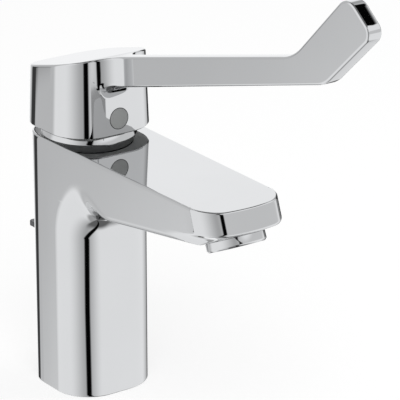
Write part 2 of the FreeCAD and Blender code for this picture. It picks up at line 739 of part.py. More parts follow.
def lever_root():
    """The flare where the lever leaves the hub: a wedge with a hollow on each side and one below."""
    reach = "(hub_width / 2 + root_round)"
    foot = f"({ROOT_UNDER} - root_round)"
    body = add("PartDesign::Body", "Root_wedge")
    side = polygon(body, "Root_outline", "YZ_Plane", [
        ("-boss_radius", f"hub_top + boss_radius * {RISE}"),
        (f"-{reach}", f"hub_top + {reach} * {RISE}"),
        (f"-{reach}", f"{ROOT_UNDER} + root_round * {UNDER}"),
        ("hub_wall - hub_width / 2", foot),
        ("-boss_radius", foot),
    ])
    pad(body, "Root_pad", side, "lever_thickness + 2 * root_round", both_ways=True)
    hollows = []
    for name, sign in (("Left", "-"), ("Right", "")):
        hollows.append(cylinder(f"{name}_hollow", "root_round", "2 * hub_width",
                                x=f"{sign}(lever_thickness / 2 + root_round)", y=f"-{reach}", z="hub_bottom",
                                turn="-hub_draft"))
    hollows.append(cylinder("Lower_hollow", "root_round", "2 * hub_width", x="-hub_width",
                            y=f"({foot} - hub_bottom) * tan(hub_draft) - {reach}",
                            z=f"{ROOT_UNDER} + root_round * ({UNDER} - 1 / cos(lever_under_rise))",
                            turn="90", about=(0, 1, 0)))
    return cut("Root_flare", body, *hollows)


def handle():
    blank = joined("Handle_blank", hub_blank(), lever_blank(), lever_root())
    inside = cylinder("Hub_cavity", "hub_width / 2 - hub_wall", "hub_roof - hub_bottom + cut_spare",
                      z="hub_bottom - cut_spare")
    core = cut("Hub_core", inside, cylinder("Hub_boss", "boss_radius", "hub_roof", z="boss_bottom"))
    socket = block("Stem_socket", ("-stem_square / 2 - fit_gap", "-stem_square / 2 - fit_gap", "boss_bottom - cut_spare"),
                   ("stem_square + 2 * fit_gap", "stem_square + 2 * fit_gap",
                    "stem_top - boss_bottom + cut_spare"))
    screw_hole = cylinder("Screw_hole", "screw_radius + fit_gap", "hub_width", z="dot_level", turn="90")
    dot_seat = cylinder("Dot_seat", "dot_radius + fit_gap", "hub_width",
                        y="dot_thickness - hub_width / 2", z="dot_level", turn="90")
    finish("handle", cut("Handle", blank, core, socket, screw_hole, dot_seat))
    finish("indicator_dot", cylinder("Indicator_dot", "dot_radius", "dot_thickness",
                                     y="dot_thickness - hub_width / 2", z="dot_level", turn="90"))
    finish("set_screw", cylinder("Set_screw", "screw_radius", "screw_length", y="-stem_square / 2", z="dot_level",
                                 turn="90"))


# Aerator: a screwed collar with its insert, screen and seal, all on the outlet's tilted axis
def tilted(thing):
    """Carries a piece that is drawn about the upright axis, seat at zero, to the outlet's axis."""
    return place(thing, y="-outlet_reach", z=OUTLET_LEVEL, turn="-jet_angle")


NECK_TOP = "(outlet_depth - seal_thickness)"
LIP_TOP = "(lip_height - aerator_skirt)"
SCREEN_TOP = f"({LIP_TOP} + screen_thickness)"


def aerator():
    collar = turned("Aerator_collar_body", [
        ("aerator_lip", "-aerator_skirt"),
        ("aerator_radius - skirt_chamfer", "-aerator_skirt"),
        ("aerator_radius", "skirt_chamfer - aerator_skirt"),
        ("aerator_radius", "0"),
        ("outlet_radius", "0"),
        ("outlet_radius", NECK_TOP),
        ("aerator_bore", NECK_TOP),
        ("aerator_bore", LIP_TOP),
        ("aerator_lip", LIP_TOP),
    ])
    finish("aerator_collar", tilted(collar))
    plate = ring("Screen_blank", "aerator_bore - fit_gap", "0", LIP_TOP, SCREEN_TOP)
    slots = []
    for number in range(-3, 4):
        slots.append(block(f"Screen_slot_{number + 3}",
                           (f"{number} * screen_pitch - screen_slot / 2", "-aerator_radius", LIP_TOP),
                           ("screen_slot", "2 * aerator_radius", "screen_thickness")))
    middle_part = cylinder("Screen_middle", "aerator_lip", "screen_thickness", z=LIP_TOP)
    finish("aerator_screen", tilted(cut("Aerator_screen", plate, common("Screen_slots", joined("Slot_row", *slots),
                                                                       middle_part))))
    insert = ring("Insert_blank", "aerator_bore - fit_gap", "insert_bore", SCREEN_TOP, NECK_TOP)
    holes = []
    for number in range(8):
        holes.append(cylinder(f"Insert_hole_{number}", "insert_hole", "outlet_depth + aerator_skirt",
                              x=f"insert_circle * cos({number} * 45)", y=f"insert_circle * sin({number} * 45)",
                              z=SCREEN_TOP))
    finish("aerator_insert", tilted(cut("Aerator_insert", insert, *holes)))
    finish("aerator_seal", tilted(ring("Aerator_seal_body", "outlet_radius", "outlet_radius - seal_wall", NECK_TOP,
                                       "outlet_depth")))


# Pop-up waste pull: a rod through the body and a flat tab in the slot at the back
def pull():
    # The linkage's clamp grips the rod's lower end, which is turned down as far as the clamp reaches.
    finish("pull_rod", joined(
        "Pull_rod",
        cylinder("Rod_shank", "rod_radius", "rod_lower_end - rod_end_length + tab_level", y="rod_back",
                 z="rod_end_length - rod_lower_end"),
        cylinder("Rod_end", "rod_end_radius", "rod_end_length", y="rod_back", z="-rod_lower_end")))
    neck = block("Tab_neck", ("-tab_neck / 2", "rod_back - tab_neck / 2", "tab_level - tab_thickness / 2"),
                 ("tab_neck", "tab_reach - rod_back - tab_neck", "tab_thickness"))
    plate = block("Tab_plate", ("-tab_width / 2", "column_width / 2 + tab_clear", "tab_level - tab_thickness / 2"),
                  ("tab_width", "tab_reach - column_width / 2 - tab_clear", "tab_thickness"))
    tab = joined("Tab_blank", neck, plate)
    end = value("tab_reach - tab_clear")
    smooth = rounded("Tab_rounded", tab, lambda e: middle(e).y > end and e.BoundBox.ZLength > e.BoundBox.XLength,
                     "tab_corner")
    finish("pull_tab", cut("Pull_tab", smooth,
                           cylinder("Tab_socket", "rod_radius + fit_gap", "tab_thickness", y="rod_back",
                                    z="tab_level - tab_thickness")))
    finish("rod_bush", cut("Rod_bush", cylinder("Bush_blank", "bush_radius", "bush_height", y="rod_back"),
                           cylinder("Bush_bore", "rod_radius + fit_gap", "bush_height", y="rod_back")))


# Fixing under the deck: stud, horseshoe washers and nut, and the gasket in the base
def fixing():
    finish("base_gasket", ring("Base_gasket", "gasket_outer", "gasket_inner", "0", "gasket_height"))
    finish("fixing_stud", cylinder("Fixing_stud", "stud_radius", "stud_length", y="-stud_front",
                                   z="stud_depth - stud_length"))
    level = "-deck_thickness"
    for label, thickness in (("rubber_washer", "rubber_thickness"), ("horseshoe_plate", "plate_thickness")):
        level = f"{level} - {thickness}"
        name = label.capitalize()
        disc = cylinder(name + "_disc", "washer_radius", thickness, z=level)
        opening = block(name + "_slot", ("-washer_slot / 2", "stud_radius + slot_wall - stud_front", level),
                        ("washer_slot", "2 * washer_radius", thickness))
        hole = cylinder(name + "_hole", "stud_radius + fit_gap", thickness, y="-stud_front", z=level)
        finish(label, cut(name, disc, opening, hole))
    level = f"{level} - nut_height"
    hexagon = add("Part::Prism", "Nut_hexagon")
    hexagon.Polygon = 6
    bind(hexagon, Circumradius="nut_width / 2 / cos(30)", Height="nut_height")
    place(hexagon, y="-stud_front", z=level)
    finish("fixing_nut", cut("Fixing_nut", hexagon, cylinder("Fixing_nut_bore", "stud_radius + fit_gap",
                                                            "nut_height", y="-stud_front", z=level)))


def main():
    body_casting()
    cartridge()
    discs()
    housing()
    turning_parts()
    stem()
    clamp_parts()
    handle()
    aerator()
    pull()
    fixing()
    document.recompute()
    for thing in document.Objects:
        if {"Invalid", "Error"} & set(thing.State):
            raise RuntimeError(f"{thing.Name} failed: {thing.State}")
    for label, thing in subparts.items():
        shape = thing.Shape
        if shape.isNull() or not shape.isValid() or not shape.Solids:
            raise RuntimeError(f"{label} is not a valid solid")
    os.makedirs("parts", exist_ok=True)
    for label, thing in subparts.items():
        thing.Shape.exportStep(f"parts/{label}.step")
        print(f"{label}: {len(thing.Shape.Solids)} solid, {thing.Shape.Volume / 1000:.2f} cm3")


main()
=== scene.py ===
import json
import math

import bpy
import numpy as np
from bpy.props import FloatProperty, FloatVectorProperty, PointerProperty
from mathutils import Matrix


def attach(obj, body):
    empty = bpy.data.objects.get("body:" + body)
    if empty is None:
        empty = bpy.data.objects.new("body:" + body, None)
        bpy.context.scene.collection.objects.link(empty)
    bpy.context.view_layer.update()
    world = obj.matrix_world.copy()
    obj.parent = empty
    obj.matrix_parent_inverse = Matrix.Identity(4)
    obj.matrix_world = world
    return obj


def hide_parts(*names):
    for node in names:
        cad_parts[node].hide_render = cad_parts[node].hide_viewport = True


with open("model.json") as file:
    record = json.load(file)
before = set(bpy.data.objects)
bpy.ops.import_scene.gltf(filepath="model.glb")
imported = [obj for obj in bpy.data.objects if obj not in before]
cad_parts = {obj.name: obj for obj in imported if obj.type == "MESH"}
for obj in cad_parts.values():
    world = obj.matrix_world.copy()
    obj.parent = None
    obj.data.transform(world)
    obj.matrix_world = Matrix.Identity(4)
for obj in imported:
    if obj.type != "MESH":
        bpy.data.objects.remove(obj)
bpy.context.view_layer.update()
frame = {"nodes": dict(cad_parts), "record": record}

bl_info = {
    "name": "Basin mixer tap",
    "version": (1, 0, 0),
    "blender": (4, 5, 0),
    "location": "View3D > Sidebar > Mixer tap",
    "description": "Chrome skins, finishes and studio for a basin mixer with a long lever",
    "category": "Object",
}

MM = 0.001


# Sizes and colours
def number(name, description, value, **settings):
    return FloatProperty(name=name, description=description, default=value, **settings)


def length(name, description, millimetres):
    return number(name, description, millimetres * MM, unit="LENGTH", precision=5)


def angle(name, description, degrees):
    return number(name, description, math.radians(degrees), subtype="ANGLE")


def factor(name, description, value):
    return number(name, description, value, min=0, max=1, subtype="FACTOR")


def point(name, description, *millimetres):
    values = [value * MM for value in millimetres]
    return FloatVectorProperty(name=name, description=description, default=values,
                               size=len(values), unit="LENGTH", precision=5)


def colour(name, description, value):
    return FloatVectorProperty(name=name, description=description, default=value, min=0, max=1,
                               size=3, subtype="COLOR")


class TapBodySizes(bpy.types.PropertyGroup):
    half_width: length("Half width", "Half the column's width", 21.7)
    corner: length("Column corner", "Corner radius in plan", 16.0)
    taper: factor("Spout taper", "Narrowing of each side per unit of reach", 0.016)
    top: length("Top", "Height of the top over the column", 112.6)
    fall: angle("Top fall", "Fall of the top to the nose", 0.6)
    throat_foot: length("Throat foot", "Height where its arc begins", 72.41)
    throat_radius: length("Throat radius", "Arc from column to underside", 15.0)
    underside_rise: angle("Underside rise", "Rise of the spout's underside", 7.8)
    cut_reach: length("Cut reach", "Reach where the nose's cut begins", 103.45)
    cut_round: length("Cut round", "Radius of that bend", 3.0)
    nose_foot: point("Nose foot", "Reach and height of its lower edge", 115.85, 102.22)
    nose_round: length("Nose round", "Radius of that edge", 1.1)
    nose_lean: angle("Nose lean", "Lean of its front at the top", 20.0)
    reach: length("Reach", "Reach of the nose's upper edge", 112.5)
    nose_bulge: length("Nose bulge", "Radius of its front in plan", 60.0)
    nose_corner: length("Nose corner", "Radius of its corners in plan", 10.0)
    fade_start: length("Fade start", "Reach where the corner radius lessens", 20.0)
    fade_end: length("Fade end", "Reach where it is the edge's own", 44.0)
    edge_round: length("Edge round", "Radius of the lower side edges", 3.0)
    rim_round: length("Rim round", "Radius of the top's edge", 0.8)
    foot_round: length("Foot round", "Radius of the edge on the deck", 0.5)


class TapHandleSizes(bpy.types.PropertyGroup):
    half_width: length("Hub half width", "Half its width at the lower edge", 22.7)
    corner: length("Hub corner", "Corner radius in plan", 16.5)
    bottom: length("Hub bottom", "Height of its lower edge", 116.5)
    draft: angle("Hub draft", "Slope of its sides", 2.2)
    top: length("Hub top", "Height of its top over the middle", 144.9)
    rise: angle("Top rise", "Rise of the top to the tip", 14.0)
    relief_start: length("Relief start", "Where the lower edge rises, behind the middle", 14.0)
    relief_rise: angle("Relief rise", "Rise of the lower edge there", 15.0)
    chamfer: length("Mouth chamfer", "Chamfer of the lower edge", 0.4)
    cavity_radius: length("Cavity radius", "Radius inside the hub", 20.6)
    cavity_top: length("Cavity top", "Height of the roof inside", 134.0)
    lining_radius: length("Lining radius", "Mouth of the moulded ring", 18.75)
    lining_height: length("Lining height", "Height of its lip", 1.2)
    rim_round: length("Rim round", "Radius of the upper edges", 0.9)
    half_thickness: length("Lever half thickness", "Half the lever's thickness", 3.3)
    root_radius: length("Root radius", "Hollow between lever and hub", 12.5)
    root_share: factor("Root share", "Lower edge's radius per unit of flare", 0.85)
    under_root_radius: length("Under root radius", "Hollow under the lever's root", 6.2)
    under_root_level: length("Under root level", "Height of its foot on the hub", 137.22)
    flare_end: length("Flare end", "Reach where the root's flare ends", 37.0)
    heel: point("Heel", "Reach and height of the underside's bend", 160.89, 174.13)
    heel_radius: length("Heel radius", "Radius of that bend", 16.0)
    toe: point("Toe", "Reach and height of the end's lower corner", 187.43, 198.88)
    toe_radius: length("Toe radius", "Radius of that corner", 4.4)
    tip: point("Tip", "Reach and height of the end's upper corner", 172.43, 211.03)
    tip_radius: length("Tip radius", "Radius of that corner", 6.7)
    bend_reach: length("Bend reach", "Reach where the top bends up", 141.6)
    bend_radius: length("Bend radius", "Radius of that bend", 24.0)


class TapTrimSizes(bpy.types.PropertyGroup):
    pivot: length("Pivot height", "Height of the lifting axis", 106.0)
    dome_radius: length("Dome radius", "Radius of the collar about the pivot", 21.15)
    dome_foot: length("Dome foot", "Height of the collar's lower face", 112.2)
    dome_top: length("Dome top", "Height of its hidden upper face", 119.0)
    dome_bore: length("Dome bore", "Radius where it ends inside the hub", 14.0)
    jet_lean: angle("Jet lean", "Lean of the outlet", 24.0)
    outlet: point("Outlet", "Reach and height of the collar's seat", 102.4, 96.24)
    dot_height: length("Indicator height", "Height of its middle", 123.5)
    dot_radius: length("Indicator radius", "Radius of its face", 4.45)
    joint_radius: length("Joint radius", "Radius of the dark joint round it", 4.62)
    tab_level: length("Tab level", "Height of the tab's neck", 56.0)
    tab_step: length("Tab step", "Rise from neck to plate", 3.0)
    tab_end: length("Tab end", "Reach of the end behind the middle", 42.2)
    tab_half_width: length("Tab half width", "Half the width of its plate", 4.5)
    neck_half_width: length("Neck half width", "Half the width of its neck", 2.2)


class TapFinishes(bpy.types.PropertyGroup):
    chrome: colour("Chrome", "Colour of its reflections", (0.52, 0.524, 0.528))
    chrome_roughness: factor("Chrome roughness", "Roughness when polished", 0.035)
    satin: colour("Satin chrome", "Colour of the pull's tab", (0.12, 0.122, 0.125))
    indicator: colour("Indicator", "Colour of the indicator", (0.40, 0.41, 0.405))
    cartridge: colour("Cartridge", "Colour of the moulded parts", (0.62, 0.63, 0.62))
    ceramic: colour("Ceramic", "Colour of the ceramic discs", (0.86, 0.84, 0.79))
    rubber: colour("Rubber", "Colour of seals and washers", (0.022, 0.022, 0.023))
    brass: colour("Brass", "Colour of bare brass", (0.78, 0.58, 0.29))
    steel: colour("Steel", "Colour of the fixing parts", (0.6, 0.59, 0.56))
    aerator: colour("Aerator", "Colour of the aerator's insert", (0.8, 0.81, 0.8))
    bush: colour("Bush", "Colour of the rod's bush", (0.07, 0.072, 0.075))


class TapStudio(bpy.types.PropertyGroup):
    azimuth: angle("View azimuth", "Turn of the camera about the column", -36.0)
    height: angle("View height", "Angle of the camera over the deck", 20.2)
    aim: point("View point", "Point that the camera looks at", 55.133, -3.281, 70.074)
    distance: length("Camera distance", "Distance of the camera from it", 1147.2)
    focal: number("Focal length", "Millimetres, for a 36 mm sensor", 236.7)
    floor_half: length("Floor half width", "Half the floor's width", 6000.0)
    floor_tone: factor("Floor tone", "Reflection of the white floor", 0.55)
    floor_glow: factor("Floor glow", "Glow that the camera sees on it", 0.62)
    ambient: factor("Ambient", "Level of the light from all round", 0.45)
    surround_radius: length("Surround radius", "Distance of the panels", 5000.0)


SETTINGS = (("tap_body_sizes", TapBodySizes), ("tap_handle_sizes", TapHandleSizes),
            ("tap_trim_sizes", TapTrimSizes), ("tap_finishes", TapFinishes),
            ("tap_studio", TapStudio))


# Shader graphs
def both_ways(operation):
    """An operator and its reflected form, each of which adds a Math node."""
    return (lambda self, other: self.graph.math(operation, self, other),
            lambda self, other: self.graph.math(operation, other, self))


class Socket:
    """An output socket with arithmetic on the graph that it belongs to."""

    __add__, __radd__ = both_ways("ADD")
    __sub__, __rsub__ = both_ways("SUBTRACT")
    __mul__, __rmul__ = both_ways("MULTIPLY")

    def __init__(self, graph, socket):
        self.graph = graph
        self.socket = socket


class Graph:
    """The node graph of one material or world."""

    def __init__(self, owner):
        owner.use_nodes = True
        self.tree = owner.node_tree
        self.tree.nodes.clear()

    def node(self, kind, output=0, settings=None, **sockets):
        """Adds a node: first its settings, then the values or links of its sockets, each by name
        or, after a low line, by number."""
        made = self.tree.nodes.new(kind)
        for name, value in (settings or {}).items():
            setattr(made, name, value)
        for name, value in sockets.items():
            key = int(name[1:]) if name[0] == "_" else name.replace("_", " ")
            self.feed(made.inputs[key], value)
        return Socket(self, made.outputs[output]) if made.outputs else made

    def feed(self, socket, value):
        if isinstance(value, Socket):
            self.tree.links.new(value.socket, socket)
        else:
            socket.default_value = value

    def math(self, operation, *values):
        return self.node("ShaderNodeMath", settings={"operation": operation},
                         **{f"_{number}": value for number, value in enumerate(values)})

    def blend(self, mask, low, high):
        """A colour between two, by a mask."""
        return self.node("ShaderNodeMix", output=2, settings={"data_type": "RGBA"},
                         _0=mask, _6=low, _7=high)

    def step(self, value, low, high):
        """0 below low and 1 above high, with a smooth rise between."""
        return self.node("ShaderNodeMapRange", settings={"interpolation_type": "SMOOTHSTEP"},
                         Value=value, From_Min=low, From_Max=high)

    def noise(self, scale, detail=3.0):
        place = self.node("ShaderNodeTexCoord", output="Object")
        return self.node("ShaderNodeTexNoise", Vector=place, Scale=scale, Detail=detail)


# Finishes
def rgba(values):
    return (*values, 1.0)


def new_surface(name, fixed, tone, patches, marks, grain):
    """A principled material, whose fixed values stand on the shader's own sockets.

    Patches: a noise's scale, two levels, and the share of the tone below the lower one. Marks: a
    noise's scale, the roughness at 0 and its rise to 1. Grain: the bumps' scale, detail and
    height in millimetres.
    """
    material = bpy.data.materials.new(name)
    graph = Graph(material)
    scale, low, high, dulled = patches
    base = graph.blend(graph.step(graph.noise(scale), low, high),
                       rgba([value * dulled for value in tone]), rgba(tone))
    scale, smooth, rise = marks
    roughness = smooth + rise * graph.noise(scale)
    scale, detail, height = grain
    normal = graph.node("ShaderNodeBump", Strength=1.0, Distance=height * MM,
                        Height=graph.noise(scale, detail))
    shader = graph.node("ShaderNodeBsdfPrincipled", Base_Color=base, Roughness=roughness,
                        Normal=normal, **fixed)
    graph.node("ShaderNodeOutputMaterial", Surface=shader)
    return material


def chrome(name, finishes):
    """Polished chrome: a mirror with a faint change of polish and level, as on a buffed casting."""
    rough = finishes.chrome_roughness
    return new_surface(name, {"Metallic": 1.0}, finishes.chrome, (38.0, 0.3, 0.7, 0.985),
                       (160.0, 0.8 * rough, 0.4 * rough), (9.0, 1.0, 0.04))


def moulded(name, tone, rough, grain_height=0.02):
    """Moulded plastic or rubber with a fine grain and a slight change of tone."""
    return new_surface(name, {"IOR": 1.47}, tone, (60.0, 0.3, 0.7, 0.93),
                       (240.0, 0.85 * rough, 0.3 * rough), (900.0, 3.0, grain_height))


def worked_metal(name, tone, rough):
    """Turned or pressed metal with fine marks across it and dull patches."""
    return new_surface(name, {"Metallic": 1.0}, tone, (90.0, 0.35, 0.75, 0.82),
                       (300.0, rough, 0.14), (1400.0, 3.0, 0.015))


def finish_materials(finishes):
    """One material for each finish slot of the record."""
    made = {slot: chrome(slot.capitalize(), finishes)
            for slot in ("chrome_casting", "chrome_handle", "chrome_trim")}
    for slot, tone, rough in (
            ("indicator_grey", finishes.indicator, 0.42),
            ("cartridge_plastic", finishes.cartridge, 0.45),
            ("seal_rubber", finishes.rubber, 0.62), ("bush_plastic", finishes.bush, 0.5),
            ("aerator_plastic", finishes.aerator, 0.4)):
        made[slot] = moulded(slot.capitalize(), tone, rough)
    made["ceramic_disc"] = moulded("Ceramic_disc", finishes.ceramic, 0.16, 0.004)
    made["bare_brass"] = worked_metal("Bare_brass", finishes.brass, 0.22)
    made["steel"] = worked_metal("Zinc_steel", finishes.steel, 0.3)
    return made


# Surfaces
CREASE = 40.0  # degrees between two faces from which their edge is sharp
WELD = 0.002 * MM
# Strips of a flat beside its rounded edge, which keep its shading even
BODY_STRIP, HUB_STRIP = 0.4 * MM, 0.5 * MM


def smooth_ramp(values, low, high):
    """0 below low, 1 above high, and three parts square less two parts cube between."""
    share = np.clip((values - low) / (high - low), 0, 1)
    return share * share * (3 - 2 * share)


def turned(vector, angles):
    """A vector in the plane turned by each angle: its parts times cosine and sine."""
    cos, sin = np.cos(angles), np.sin(angles)
    x, y = vector
    return np.stack([x * cos - y * sin, x * sin + y * cos], axis=-1)


def grid_faces(rows, columns):
    """Quads of a grid whose columns close into a ring."""
    start = np.arange(rows - 1)[:, None] * columns
    here = start + np.arange(columns)
    beside = start + (np.arange(columns) + 1) % columns
    return np.stack([here, beside, beside + columns, here + columns], axis=-1).reshape(-1, 4)


def fan_faces(ring, hub):
    """Triangles from a ring's vertices to one in its middle."""
    return np.stack([ring, np.roll(ring, -1), np.full(len(ring), hub)], axis=-1)


def stacked(rings, low_pole=None):
    """A closed skin: rings (rows, columns, 3) joined by quads. Each end closes with one flat
    face, or the low one with a fan to its pole."""
    rows, columns = rings.shape[:2]
    points = rings.reshape(-1, 3)
    low, high = np.arange(columns)[::-1], np.arange(columns) + (rows - 1) * columns
    faces = [grid_faces(rows, columns)]
    if low_pole is None:
        faces.append(low[None])
    else:
        faces.append(fan_faces(low, len(points)))
        points = np.concatenate([points, [low_pole]])
    faces.append(high[None])
    return points, faces


def looped(rings):
    """A closed skin: rings (rows, columns, 3) whose last row joins the first, round a hole."""
    rows, columns = rings.shape[:2]
    return rings.reshape(-1, 3), [grid_faces(rows + 1, columns) % (rows * columns)]


def lathe(profile, origin=(0, 0, 0), axis=(0, 0, 1), steps=96):
    """A profile of (radius, distance) turned about the axis: radius times cosine and sine."""
    profile = np.array(profile, float)
    axis = np.array(axis, float) / np.linalg.norm(axis)
    aside = np.cross(axis, (1, 0, 0) if abs(axis[0]) < 0.9 else (0, 1, 0))
    aside /= np.linalg.norm(aside)
    third = np.cross(axis, aside)
    turn = np.linspace(0, 2 * math.pi, steps, endpoint=False)
    spokes = np.cos(turn)[:, None] * aside + np.sin(turn)[:, None] * third
    return np.array(origin) + profile[:, None, :1] * spokes + profile[:, None, 1:] * axis


def rounded_path(corners, radii, runs, turns):
    """A path through corners with an arc at each inner one: points and unit tangents.

    Each arc starts and ends at the radius times the tangent of half the turn from its corner.
    Runs counts the points on each straight, which lie closer at its ends, and turns those on
    each arc.
    """
    corners = np.array(corners, float)
    steps = np.diff(corners, axis=0)
    steps /= np.linalg.norm(steps, axis=1, keepdims=True)
    points, tangents = [], []
    start = corners[0]
    for number, step in enumerate(steps):
        end = corners[number + 1]
        arc = number + 1 < len(steps)
        if arc:
            after, radius = steps[number + 1], radii[number]
            bend = math.atan2(step[0] * after[1] - step[1] * after[0], step @ after)
            end = end - step * radius * math.tan(abs(bend) / 2)
        share = 0.5 - 0.5 * np.cos(math.pi * np.linspace(0, 1, runs[number]))
        points.append(start + share[:, None] * (end - start))
        tangents.append(np.repeat(step[None], len(share), axis=0))
        if arc:
            side = np.array([-step[1], step[0]]) * math.copysign(radius, bend)
            angles = np.linspace(0, bend, turns[number] + 2)
            round_points = end + side + turned(-side, angles)
            points.append(round_points[1:-1])
            tangents.append(turned(step, angles)[1:-1])
            start = round_points[-1]
    return np.concatenate(points), np.concatenate(tangents)


# Meshes
def outward(points, faces):
    """Turns the faces outwards: the volume, a sixth of the sum of their corners' box products,
    is then positive."""
    volume = 0.0
    for group in faces:
        for corner in range(1, group.shape[1] - 1):
            a, b, c = (points[group[:, column]] for column in (0, corner, corner + 1))
            volume += np.einsum("ij,ij->i", a, np.cross(b, c)).sum() / 6
    return faces if volume > 0 else [group[:, ::-1] for group in faces]


def new_object(name, points, faces):
    """Puts points and faces into an object of the scene."""
    mesh = bpy.data.meshes.new(name)
    mesh.from_pydata(points.tolist(), [], [face for group in faces for face in group.tolist()])
    made = bpy.data.objects.new(name, mesh)
    bpy.context.scene.collection.objects.link(made)
    return made


def bake_modifiers(piece):
    """Replaces the piece's mesh by what its modifiers make of it."""
    graph = bpy.context.evaluated_depsgraph_get()
    made = bpy.data.meshes.new_from_object(piece.evaluated_get(graph))
    made.name = piece.name
    piece.modifiers.clear()
    piece.data = made


def shade(piece, crease=CREASE, weighted=True):
    """Smooth shading between the creases, with the flats kept even where it is weighted."""
    piece.data.shade_smooth()
    piece.data.set_sharp_from_angle(angle=math.radians(crease))
    if weighted:
        flat = piece.modifiers.new("Flat_faces", "WEIGHTED_NORMAL")
        flat.weight = 90
        flat.keep_sharp = True


def make_piece(name, skin, body, slot, material=None, crease=CREASE, weighted=True):
    """Makes a piece of a closed skin, with its seams merged, in its slot's finish or another."""
    points, faces = skin
    piece = new_object(name, points, outward(points, faces))
    piece.data.validate()
    piece.data.materials.append(material or bpy.data.materials[slot.capitalize()])
    weld = piece.modifiers.new("Weld", "WELD")
    weld.merge_threshold = WELD
    bake_modifiers(piece)
    shade(piece, crease, weighted)
    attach(piece, body)
    return piece


def subtract(piece, skin):
    """Cuts one closed skin out of a piece."""
    points, faces = skin
    cutter = new_object("cutter", points, outward(points, faces))
    piece.modifiers.clear()
    cut = piece.modifiers.new("Cut", "BOOLEAN")
    cut.operation = "DIFFERENCE"
    cut.solver = "MANIFOLD"
    cut.object = cutter
    bpy.context.view_layer.update()
    bake_modifiers(piece)
    bpy.data.objects.remove(cutter)


# Body
BACK_POINTS = 4
CORNER_POINTS = 22
SIDE_POINTS = 40
BASE_HOLES = (  # radius, place aside from and behind the middle, depth, in millimetres
    (4.5, -7.5, 2.0, 14.0),
    (4.5, 7.5, 2.0, 14.0),
    (4.05, 0.0, -10.0, 18.0),
    (3.4, 0.0, 14.5, 9.0),
)
BASE_GROOVE = (18.2, 20.0, 1.6)  # inner and outer radius and depth, in millimetres
BACK_SLOT = ((12.0, 30.0), (53.0, 69.0), 2.5)  # from front to back, heights, half width


def edge_radius(sizes, reach):
    """Radius of the front's side edges: the column's corner, then less along the spout."""
    share = smooth_ramp(reach, sizes.fade_start, sizes.fade_end)
    return sizes.corner + (sizes.edge_round - sizes.corner) * share


def front_depth(sizes, reach, level):
    """Depth of a point inside the front: the column's plane, the throat's arc or the underside."""
    foot, radius = sizes.throat_foot, sizes.throat_radius
    centre = sizes.half_width + radius
    cos, sin = math.cos(sizes.underside_rise), math.sin(sizes.underside_rise)
    from_arc = np.hypot(reach - centre, level - foot) - radius
    from_under = ((level - foot - radius * cos) * cos - (reach - centre + radius * sin) * sin)
    past_arc = (reach - centre) * cos + (level - foot) * sin > 0
    over_foot = np.where(past_arc, from_under, from_arc)
    return np.where(level < foot, sizes.half_width - reach, over_foot)


def body_outline(sizes, reach, level, wide, deep, nose, inset):
    """Closed level outlines of the body, one row for each set of values.

    From the back's middle: a flat, the back corner's arc, the side that narrows evenly with the
    reach, the front corner's quarter ellipse of half axes wide and deep, and the front. Where
    nose is over 0, the front bulges by that share of x squared over twice its radius. The other
    half is the mirror image. Inset draws all of it inwards. A point nearer to the front's
    profile than the edge radius r stands in by r less the root of r squared less (r less its
    depth) squared.
    """
    half, corner = sizes.half_width, sizes.corner
    reach, level, wide, deep, nose, inset = (
        values[:, None] for values in (reach, level, wide, deep, nose, inset))

    def width_at(y):
        soft = 2 * MM  # over this length, parallel sides turn into tapering ones
        narrowing = soft * np.log1p(np.exp(np.clip(-y / soft, -50, 50)))
        return half - sizes.taper * narrowing - inset

    def rounded_width(y):
        radius = edge_radius(sizes, -y)
        short = np.clip(radius - front_depth(sizes, -y, level) + inset, 0, radius)
        return width_at(y) - radius + np.sqrt(radius ** 2 - short ** 2)

    turn = np.linspace(0, math.pi / 2, CORNER_POINTS, endpoint=False)[None]
    straight = half - corner
    flat = straight * np.linspace(0, 1, BACK_POINTS, endpoint=False)[None]
    back_x = straight + (corner - inset) * np.sin(turn)
    back_y = straight + (corner - inset) * np.cos(turn)
    front_start = -(reach - inset - deep)
    along = np.linspace(0, 1, SIDE_POINTS, endpoint=False)[None]
    side_y = straight + (front_start - straight) * along
    front_y = front_start - deep * np.sin(turn)
    elliptic = width_at(front_y) - wide + wide * np.cos(turn)
    front_x = rounded_width(front_y)
    front_x = np.where(nose > 0.001, np.minimum(elliptic, front_x), front_x)
    end_y = -(reach - inset)
    end_x = (width_at(end_y) - wide) * np.linspace(1, 0, BACK_POINTS + 2)[None]
    parts = [np.broadcast_arrays(x, y) for x, y in (
        (flat, half - inset), (back_x, back_y), (rounded_width(side_y), side_y),
        (front_x, front_y), (end_x, end_y))]
    x, y = (np.concatenate(part, axis=1) for part in zip(*parts))
    y = y + nose * x ** 2 / (2 * sizes.nose_bulge) * (y < front_start + 1e-9)
    x = np.concatenate([x, -x[:, -2:0:-1]], axis=1)
    y = np.concatenate([y, y[:, -2:0:-1]], axis=1)
    return x, y


